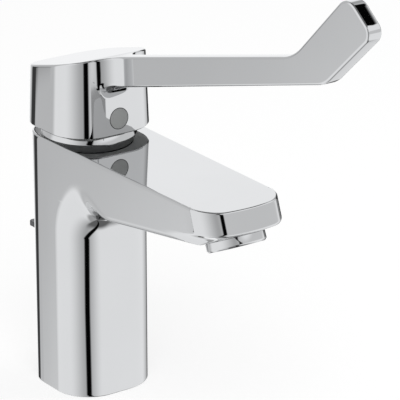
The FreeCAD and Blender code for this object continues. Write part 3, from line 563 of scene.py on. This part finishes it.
def body_rows(sizes):
    """The front's profile as rows of reach and height, with the corner's shape at each: up the
    column, round the throat's arc, along the underside, up the nose's cut and its front."""
    half, foot, radius = sizes.half_width, sizes.throat_foot, sizes.throat_radius
    rise, lip = sizes.underside_rise, sizes.rim_round
    end = math.pi / 2 - rise
    throat_reach = half + radius * (1 - math.cos(end))
    throat_level = foot + radius * math.sin(end)
    cut_level = throat_level + (sizes.cut_reach - throat_reach) * math.tan(rise)
    nose_top = sizes.top - sizes.reach * math.tan(sizes.fall) - lip
    column, _ = rounded_path([(half, sizes.foot_round), (half, foot)], [], [18], [])
    turn = np.linspace(0, end, 44)[1:-1]
    throat = np.stack([half + radius * (1 - np.cos(turn)), foot + radius * np.sin(turn)], axis=-1)
    nose, _ = rounded_path(
        [(throat_reach, throat_level), (sizes.cut_reach, cut_level), sizes.nose_foot,
         (sizes.reach + lip * math.tan(sizes.nose_lean), nose_top)],
        [sizes.cut_round, sizes.nose_round], [70, 10, 10], [8, 8])
    reach, level = np.concatenate([column, throat, nose]).T
    up_cut = smooth_ramp(level, cut_level - 0.4 * MM, sizes.nose_foot[1])
    outer = radius + sizes.corner
    over_foot = np.clip(level - foot, 0, 0.9 * outer)
    fillet_back = half + radius - np.sqrt(outer ** 2 - over_foot ** 2)
    wide = edge_radius(sizes, reach)
    deep = np.minimum(reach - fillet_back, wide / math.sin(rise))
    wide = wide + (sizes.nose_corner - wide) * up_cut
    deep = deep + (sizes.nose_corner - deep) * up_cut
    return reach, level, wide, deep, up_cut


def body_skin(sizes):
    """The body's closed skin: level outlines up the front's profile, drawn in to both flats by
    the edge's radius less the radius times the cosine or sine."""
    rows = body_rows(sizes)
    level = rows[1]
    turn = np.linspace(0, math.pi / 2, 5)
    foot, lip = sizes.foot_round, sizes.rim_round
    low_in = np.append(foot + BODY_STRIP, foot * (1 - np.sin(turn[:-1])))
    low_z = np.append(0.0, foot * (1 - np.cos(turn[:-1])))
    high_in = np.append(lip * (1 - np.cos(turn[1:])), lip + BODY_STRIP)
    high_drop = np.append(lip * (1 - np.sin(turn[1:])), 0.0)
    low, high = len(low_in), len(high_in)
    inset = np.concatenate([low_in, np.zeros(len(level)), high_in])
    rows = (np.pad(values, (low, high), mode="edge") for values in rows)
    x, y = body_outline(sizes, *rows, inset)
    z = np.concatenate([low_z, level, np.zeros(high)])[:, None] * np.ones_like(x)
    top = sizes.top + np.minimum(y, 0) * math.tan(sizes.fall)
    z[-high:] = top[-high:] - high_drop[:, None]
    z[-high - 1] = top[-high - 1] - lip
    return stacked(np.stack([x, y, z], axis=-1))


def cut_openings(piece):
    """Cuts the base's holes and groove, which are turned profiles, and the back's slot, a box."""
    spare = -1 * MM
    for values in BASE_HOLES:
        radius, aside, behind, depth = MM * np.array(values)
        profile = [(radius, spare), (radius, depth)]
        subtract(piece, stacked(lathe(profile, (aside, behind, 0), steps=48)))
    inner, outer, depth = MM * np.array(BASE_GROOVE)
    profile = [(inner, spare), (outer, spare), (outer, depth), (inner, depth)]
    subtract(piece, looped(lathe(profile)))
    (front, back), levels, half = BACK_SLOT
    ring = [(-half, front), (half, front), (half, back), (-half, back)]
    slot = np.array([[(x, y, level) for x, y in ring] for level in levels])
    subtract(piece, stacked(MM * slot))
    shade(piece)


# Hub and lever
QUARTER_TURNS = ((1, 0), (0, 1), (-1, 0), (0, -1))  # cosine and sine
SIDE_SHARES = (0.0, 0.015, *np.linspace(0.06, 0.94, 12), 0.985, 1.0)
BLADE_SHARES = (0.015, 0.05, 0.14, 0.26, 0.42, 0.58, 0.74, 0.86, 0.95, 0.985)
PROUD = 0.01 * MM  # height of the lever's top over the hub's, so that only one shows


def hub_outline(sizes, half):
    """Closed rounded square of a half width: for each quarter the corner's arc and a flat."""
    straight = sizes.half_width - sizes.corner
    radius = half - straight
    turn = np.linspace(0, math.pi / 2, 22)
    flat = straight * np.linspace(1, -1, 7)[1:-1]
    x = np.concatenate([straight + radius * np.cos(turn), flat])
    y = np.concatenate([straight + radius * np.sin(turn), np.full_like(flat, half)])
    return (np.concatenate([cos * x - sin * y for cos, sin in QUARTER_TURNS]),
            np.concatenate([sin * x + cos * y for cos, sin in QUARTER_TURNS]))


def hub_outline_at(sizes, half):
    """The hub's outline with a half width for each point: moved along the outline's normals."""
    x, y = hub_outline(sizes, sizes.half_width)
    straight = sizes.half_width - sizes.corner
    away_x = x - np.clip(x, -straight, straight)
    away_y = y - np.clip(y, -straight, straight)
    shift = (half - sizes.half_width) / np.hypot(away_x, away_y)
    return x + shift * away_x, y + shift * away_y


def hub_half(sizes, level):
    """Half the hub's width at a height: it lessens evenly with the draft."""
    return sizes.half_width - (level - sizes.bottom) * math.tan(sizes.draft)


def hub_mouth(sizes, y):
    """Height of the hub's lower edge: level, then rising evenly behind the relief's start."""
    return sizes.bottom + np.maximum(y - sizes.relief_start, 0) * math.tan(sizes.relief_rise)


def hub_skin(sizes):
    """The hub's closed skin: from the cavity's roof down, round the lower edge, up the drafted
    sides, over the rounded rim and across the sloping top."""
    rise, lip = math.tan(sizes.rise), sizes.rim_round
    outline_x, outline_y = hub_outline(sizes, sizes.half_width)
    around = np.arctan2(outline_y, outline_x)
    inner_x = sizes.cavity_radius * np.cos(around)
    inner_y = sizes.cavity_radius * np.sin(around)
    drop = sizes.cavity_top - hub_mouth(sizes, inner_y)
    rings = [(inner_x, inner_y, sizes.cavity_top - drop * share)
             for share in (0.0, 0.02, 0.5, 0.98, 1.0)]
    mouth = hub_mouth(sizes, outline_y)
    rings.append((*hub_outline(sizes, sizes.half_width - sizes.chamfer), mouth))
    rim = sizes.top - outline_y * rise - lip
    for share in SIDE_SHARES:
        z = mouth + sizes.chamfer + (rim - mouth - sizes.chamfer) * share
        rings.append((*hub_outline_at(sizes, hub_half(sizes, z)), z))
    for turn in np.linspace(0, math.pi / 2, 7)[1:]:
        half = hub_half(sizes, rim) - lip * (1 - math.cos(turn))
        x, y = hub_outline_at(sizes, half)
        rings.append((x, y, sizes.top - y * rise - lip * (1 - math.sin(turn))))
    x, y = hub_outline_at(sizes, half - HUB_STRIP)
    rings.append((x, y, sizes.top - y * rise))
    return stacked(np.array([np.stack(ring, axis=-1) for ring in rings]))


def hub_lining(sizes):
    """The moulded ring in the hub's mouth: a closed skin over its lower face, with a lip closely
    round the collar's dome."""
    proud, thin = 0.03 * MM, 0.1 * MM
    lip, mouth, wall = sizes.lining_height, sizes.lining_radius, sizes.cavity_radius - proud
    x, y = hub_outline(sizes, sizes.half_width - sizes.chamfer)
    around = np.arctan2(y, x)

    def turned_ring(radius, lift):
        across = radius * np.sin(around)
        return radius * np.cos(around), across, hub_mouth(sizes, across) + lift

    rings = [turned_ring(mouth + thin, lip), turned_ring(mouth, lip - thin),
             turned_ring(mouth, -proud), (x, y, hub_mouth(sizes, y) - proud),
             (x, y, hub_mouth(sizes, y) + thin), turned_ring(wall, thin), turned_ring(wall, lip)]
    return looped(np.array([np.stack(ring, axis=-1) for ring in rings]))


def lever_flare(sizes, reach, level):
    """Extra half thickness at the root: an arc of the root radius, tangent to the blade's side
    and to the hub's corner, whose radius lessens with the draft. Past their meeting it follows
    that corner, ever deeper under its surface."""
    corner = sizes.corner - (level - sizes.bottom) * math.tan(sizes.draft)
    radius = sizes.root_radius
    straight = sizes.half_width - sizes.corner
    aside = sizes.half_thickness + radius - straight
    ahead = np.sqrt((corner + radius) ** 2 - aside ** 2)
    meeting = straight + ahead * corner / (corner + radius)
    along = np.clip(straight + ahead - reach, 0, straight + ahead - meeting)
    hollow = radius - np.sqrt(radius ** 2 - along ** 2)
    sunk = 0.1 * np.maximum(meeting - reach, 0)
    hidden = np.sqrt(np.maximum((corner - sunk) ** 2 - (reach - straight) ** 2, 0))
    return np.where(reach < meeting, straight + hidden - sizes.half_thickness, hollow)


def lever_outlines(sizes):
    """The lever's upper and lower outline from inside the hub to the middle of its end, as
    paired points and tangents."""
    inside, below = 17.8 * MM, 120 * MM  # where the lever starts, and a level on the hub's face

    def on_top(reach):
        level = sizes.top + reach * math.tan(sizes.rise) + PROUD
        return np.stack([reach, level], axis=-1)

    tip, toe, heel = (np.array(place) for place in (sizes.tip, sizes.toe, sizes.heel))
    tail = (tip + toe) / 2
    root = np.array([hub_half(sizes, sizes.under_root_level), sizes.under_root_level])
    joint = root + (heel - root) * (sizes.flare_end - root[0]) / (heel[0] - root[0])
    root_arc, flared = 40, 24
    low, low_way = rounded_path(
        [(hub_half(sizes, below), below), root, joint, heel, toe, tail],
        [sizes.under_root_radius, 0.0, sizes.heel_radius, sizes.toe_radius],
        [2, flared, 22, 14, 10], [root_arc, 0, 12, 12])
    low, low_way = low[1:], low_way[1:]
    inner = np.linspace(inside, low[0, 0], 32)[:-1]
    low = np.concatenate([np.stack([inner, np.full_like(inner, low[0, 1])], axis=-1), low])
    low_way = np.concatenate([np.repeat(low_way[:1], len(inner), axis=0), low_way])
    near = np.maximum.accumulate(low[:len(inner) + 1 + root_arc + flared, 0])
    far, far_way = rounded_path(
        [on_top(near[-1] + 0.1 * MM), on_top(sizes.bend_reach), tip, tail],
        [sizes.bend_radius, sizes.tip_radius], [22, 14, 10], [12, 12])
    top = np.concatenate([on_top(near), far])
    top_way = np.concatenate([np.repeat(far_way[:1], len(near), axis=0), far_way])
    return top, top_way, low, low_way


def lever_skin(sizes):
    """The lever's closed skin: paired points of its upper and lower outline, joined by rounded
    sections.

    An edge point lies at the outline, moved inwards by the edge's radius times one less the
    cosine, while its half thickness grows by the radius times the sine. The lower edge's radius
    grows with the flare, and at the root the edge is drawn straight up.
    """
    top, top_way, low, low_way = lever_outlines(sizes)
    top_in = np.stack([top_way[:, 1], -top_way[:, 0]], axis=-1)
    low_in = np.stack([-low_way[:, 1], low_way[:, 0]], axis=-1)
    past_root = smooth_ramp(low[:, :1], 26 * MM, 36 * MM)
    low_in = low_in * past_root + np.array([0, 1]) * (1 - past_root)
    edge, thick = sizes.rim_round, sizes.half_thickness
    low_edge = edge + sizes.root_share * lever_flare(sizes, low[:, 0], low[:, 1])
    turn = np.linspace(0, math.pi / 2, 9)
    sections = [(top + edge * (1 - math.cos(t)) * top_in, thick - edge * (1 - math.sin(t)))
                for t in turn]
    top_inner, low_inner = sections[-1][0], low + low_edge[:, None] * low_in
    sections += [(top_inner + (low_inner - top_inner) * share, thick) for share in BLADE_SHARES]
    sections += [(low + (low_edge * (1 - math.cos(t)))[:, None] * low_in,
                  thick - low_edge * (1 - math.sin(t))) for t in turn[::-1]]
    right = np.array([
        np.stack([half + lever_flare(sizes, *place.T), -place[:, 0], place[:, 1]], axis=-1)
        for place, half in sections])
    rings = np.concatenate([right, right[::-1] * (-1, 1, 1)]).transpose(1, 0, 2)
    return stacked(rings, low_pole=rings[0].mean(0))


# Trim
def collar_profile(sizes):
    """Radius and height of the collar: its lower face, an arc about the pivot that the hub is
    tipped round, and the hidden neck."""
    foot = math.asin((sizes.dome_foot - sizes.pivot) / sizes.dome_radius)
    end = math.acos(sizes.dome_bore / sizes.dome_radius)
    turn = np.linspace(foot, end, 20)
    dome = sizes.dome_radius * np.stack([np.cos(turn), np.sin(turn)], axis=-1)
    return [(0.0, sizes.dome_foot), *(dome + (0, sizes.pivot)),
            (sizes.dome_bore, sizes.dome_top), (0.0, sizes.dome_top)]


def outlet_profile():
    """Radius and distance along the jet of the outlet's collar, in order: hidden seat, skirt
    with a broken edge, chamfer, rounded lip and the recess round the insert."""
    seat, skirt, lip, recess = 11.0, 12.1, 10.7, 10.4
    return MM * np.array([
        (0.0, -1.2), (seat, -1.2), (seat, 0.0), (skirt - 0.2, 0.0), (skirt, 0.2), (skirt, 3.1),
        (11.95, 3.4), (11.5, 3.9), (11.2, 4.1), (lip, 4.1), (10.5, 3.9), (recess, 2.6),
        (0.0, 2.6)])


def tab_skin(sizes):
    """The pull's tab as a closed skin: rounded sections along a line that steps up in a smooth
    ramp. The half width grows from neck to plate and follows the corner's arc at the end, and
    the half thickness lessens up the step."""
    start, neck_end, plate_start, corner, edge = MM * np.array([12.3, 22.8, 23.4, 1.2, 0.3])
    corner_start = sizes.tab_end - corner
    along = np.concatenate([
        np.linspace(start, neck_end, 14), np.linspace(plate_start, corner_start, 22),
        corner_start + corner * np.sin(np.linspace(0.15, math.pi / 2, 9))])
    short = np.clip((along - corner_start) / corner, 0, 1)
    plate = sizes.tab_half_width - corner * (1 - np.sqrt(1 - short ** 2))
    half = np.where(along < (neck_end + plate_start) / 2, sizes.neck_half_width, plate)
    up_step = smooth_ramp(along, 20.5 * MM, 26.5 * MM)
    middle = sizes.tab_level + sizes.tab_step * up_step
    thick = 1.5 * MM - 0.3 * MM * up_step
    turn = np.linspace(0, 2 * math.pi, 32, endpoint=False) + math.pi / 32
    cos, sin = np.cos(turn), np.sin(turn)
    x = (half[:, None] - edge) * np.sign(cos) + edge * cos
    z = middle[:, None] + (thick[:, None] - edge) * np.sign(sin) + edge * sin
    return stacked(np.stack([x, np.broadcast_to(along[:, None], x.shape), z], axis=-1))


# Pieces
class TAP_OT_finishes(bpy.types.Operator):
    """Makes one material for each finish and gives it to the frame's own parts"""
    bl_idname = "tap.finishes"
    bl_label = "Finishes"

    def execute(self, context):
        made = finish_materials(context.scene.tap_finishes)
        slots = {part["node"]: part["material_slot"] for part in frame["record"]["subparts"]}
        for name, node in frame["nodes"].items():
            node.data.materials.clear()
            node.data.materials.append(made[slots[name]])
        return {"FINISHED"}


class TAP_OT_cast_body(bpy.types.Operator):
    """Makes the chrome skin of the column and spout, with its bores and the back's slot"""
    bl_idname = "tap.cast_body"
    bl_label = "Cast body"

    def execute(self, context):
        sizes = context.scene.tap_body_sizes
        skin = make_piece("body_skin", body_skin(sizes), "root", "chrome_casting")
        cut_openings(skin)
        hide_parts("tap_body")
        return {"FINISHED"}


class TAP_OT_handle(bpy.types.Operator):
    """Makes the hub, its lining and the long lever, which turn and tip together"""
    bl_idname = "tap.handle"
    bl_label = "Handle"

    def execute(self, context):
        sizes = context.scene.tap_handle_sizes
        hub = make_piece("handle_hub", hub_skin(sizes), "lift", "chrome_handle")
        make_piece("handle_lever", lever_skin(sizes), "lift", "chrome_handle", weighted=False)
        make_piece("hub_lining", hub_lining(sizes), "lift", "cartridge_plastic", weighted=False)
        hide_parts("handle")
        return {"FINISHED"}


class TAP_OT_trim(bpy.types.Operator):
    """Makes the turned trim: the hub's collar, the outlet's collar and the indicator"""
    bl_idname = "tap.trim"
    bl_label = "Turned trim"

    def execute(self, context):
        sizes, hub = context.scene.tap_trim_sizes, context.scene.tap_handle_sizes
        dome = lathe(collar_profile(sizes), steps=144)
        collar = make_piece("collar_skin", stacked(dome), "root", "chrome_trim")
        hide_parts("collar_ring")

        jet = (0, -math.sin(sizes.jet_lean), -math.cos(sizes.jet_lean))
        reach, level = sizes.outlet
        skirt = lathe(outlet_profile(), (0, -reach, level), jet, steps=128)
        ring = make_piece("outlet_collar", stacked(skirt), "root", "chrome_trim")
        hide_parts("aerator_collar")

        place = (0, -hub_half(hub, sizes.dot_height), sizes.dot_height)
        axis = (0, -math.cos(hub.draft), math.sin(hub.draft))
        radius = sizes.dot_radius / MM
        profile = [(0, -1.2), (radius, -1.2), (radius, -0.1), (radius - 0.15, 0.03), (0, 0.03)]
        face = lathe(MM * np.array(profile), place, axis)
        made = make_piece("indicator_face", stacked(face), "lift", "indicator_grey")
        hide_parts("indicator_dot")

        radius = sizes.joint_radius / MM
        profile = [(0, -1), (radius, -1), (radius, 0.02), (0, 0.02)]
        joint = lathe(MM * np.array(profile), place, axis)
        make_piece("indicator_joint", stacked(joint), "lift", "seal_rubber")
        return {"FINISHED"}


class TAP_OT_pull_tab(bpy.types.Operator):
    """Makes the satin tab of the pull behind the column"""
    bl_idname = "tap.pull_tab"
    bl_label = "Pull tab"

    def execute(self, context):
        sizes, tone = context.scene.tap_trim_sizes, context.scene.tap_finishes.satin
        satin = worked_metal("Satin_chrome", tone, 0.2)
        tab = make_piece("tab_skin", tab_skin(sizes), "pull", "chrome_trim", satin, 50.0)
        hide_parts("pull_tab")
        return {"FINISHED"}


# Studio
BASE_GREY = 218
PANEL_TINT = (0.985, 0.99, 1.0)
# Panels and cards round the tap, each laid over those above it. Columns: name; azimuth from, to
# and the softness of either edge, in degrees against the clock from the tap's right side; height
# from, to and the softness of both; the 8 bit grey that facing chrome shows; and for leaning
# edges their azimuth per degree of height, everywhere and then below HUB_VIEW, and per degree
# below BEND_LOW and of BEND_BACK above BEND_HIGH.
CARDS = (
    ("front shade by the mark", 208, 252, 34, 26, -95, 95, 1, 150),
    ("right shade", 372, 404, 20, 6, -95, 95, 1, 150),
    ("left panel", 60, 135, 1, 8, -95, 95, 1, 177, 0, 0.85),
    ("upper front", 252, 372, 4, 12, -2, 20, 3, 188),
    ("hub front card", 256, 300, 1.5, 1.5, -14.5, -11.82, 0.06, 133),
    ("left dark card", 99, 123.4, 5, 2, -95, -6, 3, 52, 0, 1.9),
    ("nadir", 60, 440, 1, 1, -95, -70, 4, 150),
    ("under front card", 224, 356, 6, 6, -95, -52, 10, 90),
    ("right dark card", 391, 422, 4, 3, -34, -13.5, 2, 66),
    ("lever tip card", 374, 400, 4, 4, -56, -38, 2, 196),
    ("right limb card", 382, 424, 4, 3, -18.5, -11, 2, 40),
    ("far rim card", 370, 398, 4, 7, -10, 19, 3, 22),
    ("low backdrop", 404, 440, 4, 1, -11.5, 9, 3, 200),
    ("high backdrop", 402, 440, 4, 1, 9, 40, 3, 220),
    ("collar left card", 417.5, 422.5, 1, 1, 12, 24, 2, 8),
    ("ceiling", 0, 500, 1, 1, 57, 95, 3, 103),
    ("ceiling card", 334, 372, 3, 4, 48.5, 66, 2, 4),
    ("dark mark", 233.5, 248.5, 2.5, 2.5, -95, 46, 1, 3, 0.42, 0.45, -1.75),
)
SEAM = 76.0
HUB_VIEW = -13.0
BEND_LOW, BEND_HIGH = -22.0, (17.5, 19.0)
BEND_BACK = 10.3
LAMPS = (("Key_panel", (-0.9, -1.4, 1.9), 1.6, 17.0),  # place and side in metres, watts
         ("Fill_panel", (1.8, -0.6, 1.4), 1.8, 9.0))


def emission_level(grey):
    """The light level that the screen shows as an 8 bit grey."""
    share = grey / 255
    return ((share + 0.055) / 1.055) ** 2.4 if share > 0.04045 else share / 12.92


def surround_material(finishes):
    """Soft panels and dark cards, laid over each other by direction from the tap's foot."""
    material = bpy.data.materials.new("Surround_panels")
    graph = Graph(material)
    place = graph.node("ShaderNodeTexCoord", output="Object")
    split = graph.node("ShaderNodeSeparateXYZ", Vector=place)
    x, y, z = (Socket(graph, split.socket.node.outputs[name]) for name in "XYZ")
    degrees = 180 / math.pi
    azimuth = graph.math("WRAP", graph.math("ARCTAN2", y, x) * degrees, SEAM + 360, SEAM)
    height = graph.math("ARCTAN2", z, graph.math("SQRT", x * x + y * y)) * degrees
    over = height - HUB_VIEW
    under = graph.math("MINIMUM", over, 0.0)
    bent = (graph.math("MINIMUM", height - BEND_LOW, 0.0)
            + graph.step(height, *BEND_HIGH) * BEND_BACK)

    def between(value, low, high, low_soft, high_soft):
        return (graph.step(value, low - low_soft, low + low_soft)
                * (1 - graph.step(value, high - high_soft, high + high_soft)))

    def strength(grey):
        return emission_level(grey) / finishes.chrome[0]

    level = strength(BASE_GREY)
    for card in CARDS:
        name, left, right, left_soft, right_soft, low, high, soft, grey, *leans = card
        leant = azimuth
        for amount, share in zip((over, under, bent), leans):
            leant = leant - amount * share if share else leant
        mask = (between(leant, left, right, left_soft, right_soft)
                * between(height, low, high, soft, soft))
        mask.socket.node.label = name
        level = mask * (strength(grey) - level) + level
    light = graph.node("ShaderNodeEmission", Color=rgba(PANEL_TINT), Strength=level)
    graph.node("ShaderNodeOutputMaterial", Surface=light)
    return material


def floor_material(studio):
    """White floor: matt, so that it takes the shadow, with a glow that the camera alone sees."""
    material = bpy.data.materials.new("Floor_white")
    graph = Graph(material)
    seen = graph.node("ShaderNodeLightPath", output="Is Camera Ray")
    matt = graph.node("ShaderNodeBsdfDiffuse", Color=rgba([studio.floor_tone] * 3))
    glow = graph.node("ShaderNodeEmission", Color=rgba((1, 1, 1)),
                      Strength=seen * studio.floor_glow)
    both = graph.node("ShaderNodeAddShader", _0=matt, _1=glow)
    graph.node("ShaderNodeOutputMaterial", Surface=both)
    return material


def facing(place, back):
    """The matrix of a lamp or camera at a place: it looks against back, with a level side."""
    back = np.array(back) / np.linalg.norm(back)
    side = np.cross((0, 0, 1), back)
    side /= np.linalg.norm(side)
    up = np.cross(back, side)
    return Matrix([[side[i], up[i], back[i], place[i]] for i in range(3)] + [[0, 0, 0, 1]])


class TAP_OT_studio(bpy.types.Operator):
    """Makes the floor, the panels that the chrome reflects, the lamps and the camera"""
    bl_idname = "tap.studio"
    bl_label = "Studio"

    def execute(self, context):
        scene, studio = context.scene, context.scene.tap_studio
        self.floor(studio)
        self.surround(studio, scene.tap_finishes)
        self.lamps(scene)
        self.world(scene, studio)
        self.camera(scene, studio)
        scene.view_settings.view_transform = "Standard"
        return {"FINISHED"}

    def floor(self, studio):
        corners = np.array([(-1, -1, 0), (1, -1, 0), (1, 1, 0), (-1, 1, 0)])
        floor = new_object("studio_floor", corners * studio.floor_half, [np.arange(4)[None]])
        floor.data.materials.append(floor_material(studio))
        floor.visible_glossy = False

    def surround(self, studio, finishes):
        turn = np.radians(np.linspace(-89, 89, 48))
        profile = np.stack([np.cos(turn), np.sin(turn)], axis=-1) * studio.surround_radius
        surround = new_object("studio_surround", *stacked(lathe(profile)))
        surround.data.shade_smooth()
        surround.data.materials.append(surround_material(finishes))
        for rays in ("camera", "diffuse", "shadow", "transmission", "volume_scatter"):
            setattr(surround, "visible_" + rays, False)

    def lamps(self, scene):
        for name, place, size, power in LAMPS:
            lamp = bpy.data.lights.new(name, "AREA")
            lamp.shape = "SQUARE"
            lamp.size = size
            lamp.energy = power
            made = bpy.data.objects.new(name, lamp)
            made.matrix_world = facing(place, place)
            made.visible_glossy = False
            scene.collection.objects.link(made)

    def world(self, scene, studio):
        scene.world = bpy.data.worlds.new("Studio_world")
        graph = Graph(scene.world)
        seen = graph.node("ShaderNodeLightPath", output="Is Camera Ray")
        level = studio.ambient + (1 - studio.ambient) * seen
        light = graph.node("ShaderNodeBackground", Color=rgba((1, 1, 1)), Strength=level)
        graph.node("ShaderNodeOutputWorld", Surface=light)

    def camera(self, scene, studio):
        turn, height = studio.azimuth, studio.height
        level = np.array([math.sin(turn), -math.cos(turn), 0]) * math.cos(height)
        back = level + (0, 0, math.sin(height))
        camera = bpy.data.cameras.new("Photo_camera")
        camera.lens = studio.focal
        camera.sensor_width = 36
        camera.clip_end = 40
        made = bpy.data.objects.new("Photo_camera", camera)
        made.matrix_world = facing(np.array(studio.aim) + back * studio.distance, back)
        scene.collection.objects.link(made)
        scene.camera = made


class TAP_PT_panel(bpy.types.Panel):
    """Lists the tap's pieces and sizes in the sidebar"""
    bl_idname = "TAP_PT_panel"
    bl_label = "Mixer tap"
    bl_space_type = "VIEW_3D"
    bl_region_type = "UI"
    bl_category = "Mixer tap"

    def draw(self, context):
        layout = self.layout
        for operator in OPERATORS:
            layout.operator(operator.bl_idname)
        for name, group in SETTINGS:
            box = layout.box()
            values = getattr(context.scene, name)
            for key in group.__annotations__:
                box.prop(values, key)


OPERATORS = (TAP_OT_finishes, TAP_OT_cast_body, TAP_OT_handle, TAP_OT_trim, TAP_OT_pull_tab,
             TAP_OT_studio)
CLASSES = tuple(group for _, group in SETTINGS) + OPERATORS + (TAP_PT_panel,)


def register():
    for item in CLASSES:
        bpy.utils.register_class(item)
    for name, group in SETTINGS:
        setattr(bpy.types.Scene, name, PointerProperty(type=group))


def unregister():
    for name, _ in SETTINGS:
        delattr(bpy.types.Scene, name)
    for item in reversed(CLASSES):
        bpy.utils.unregister_class(item)


def main():
    register()
    for operator in OPERATORS:
        group, name = operator.bl_idname.split(".")
        getattr(getattr(bpy.ops, group), name)()
    bpy.context.view_layer.update()


if __name__ == "__main__":
    main()
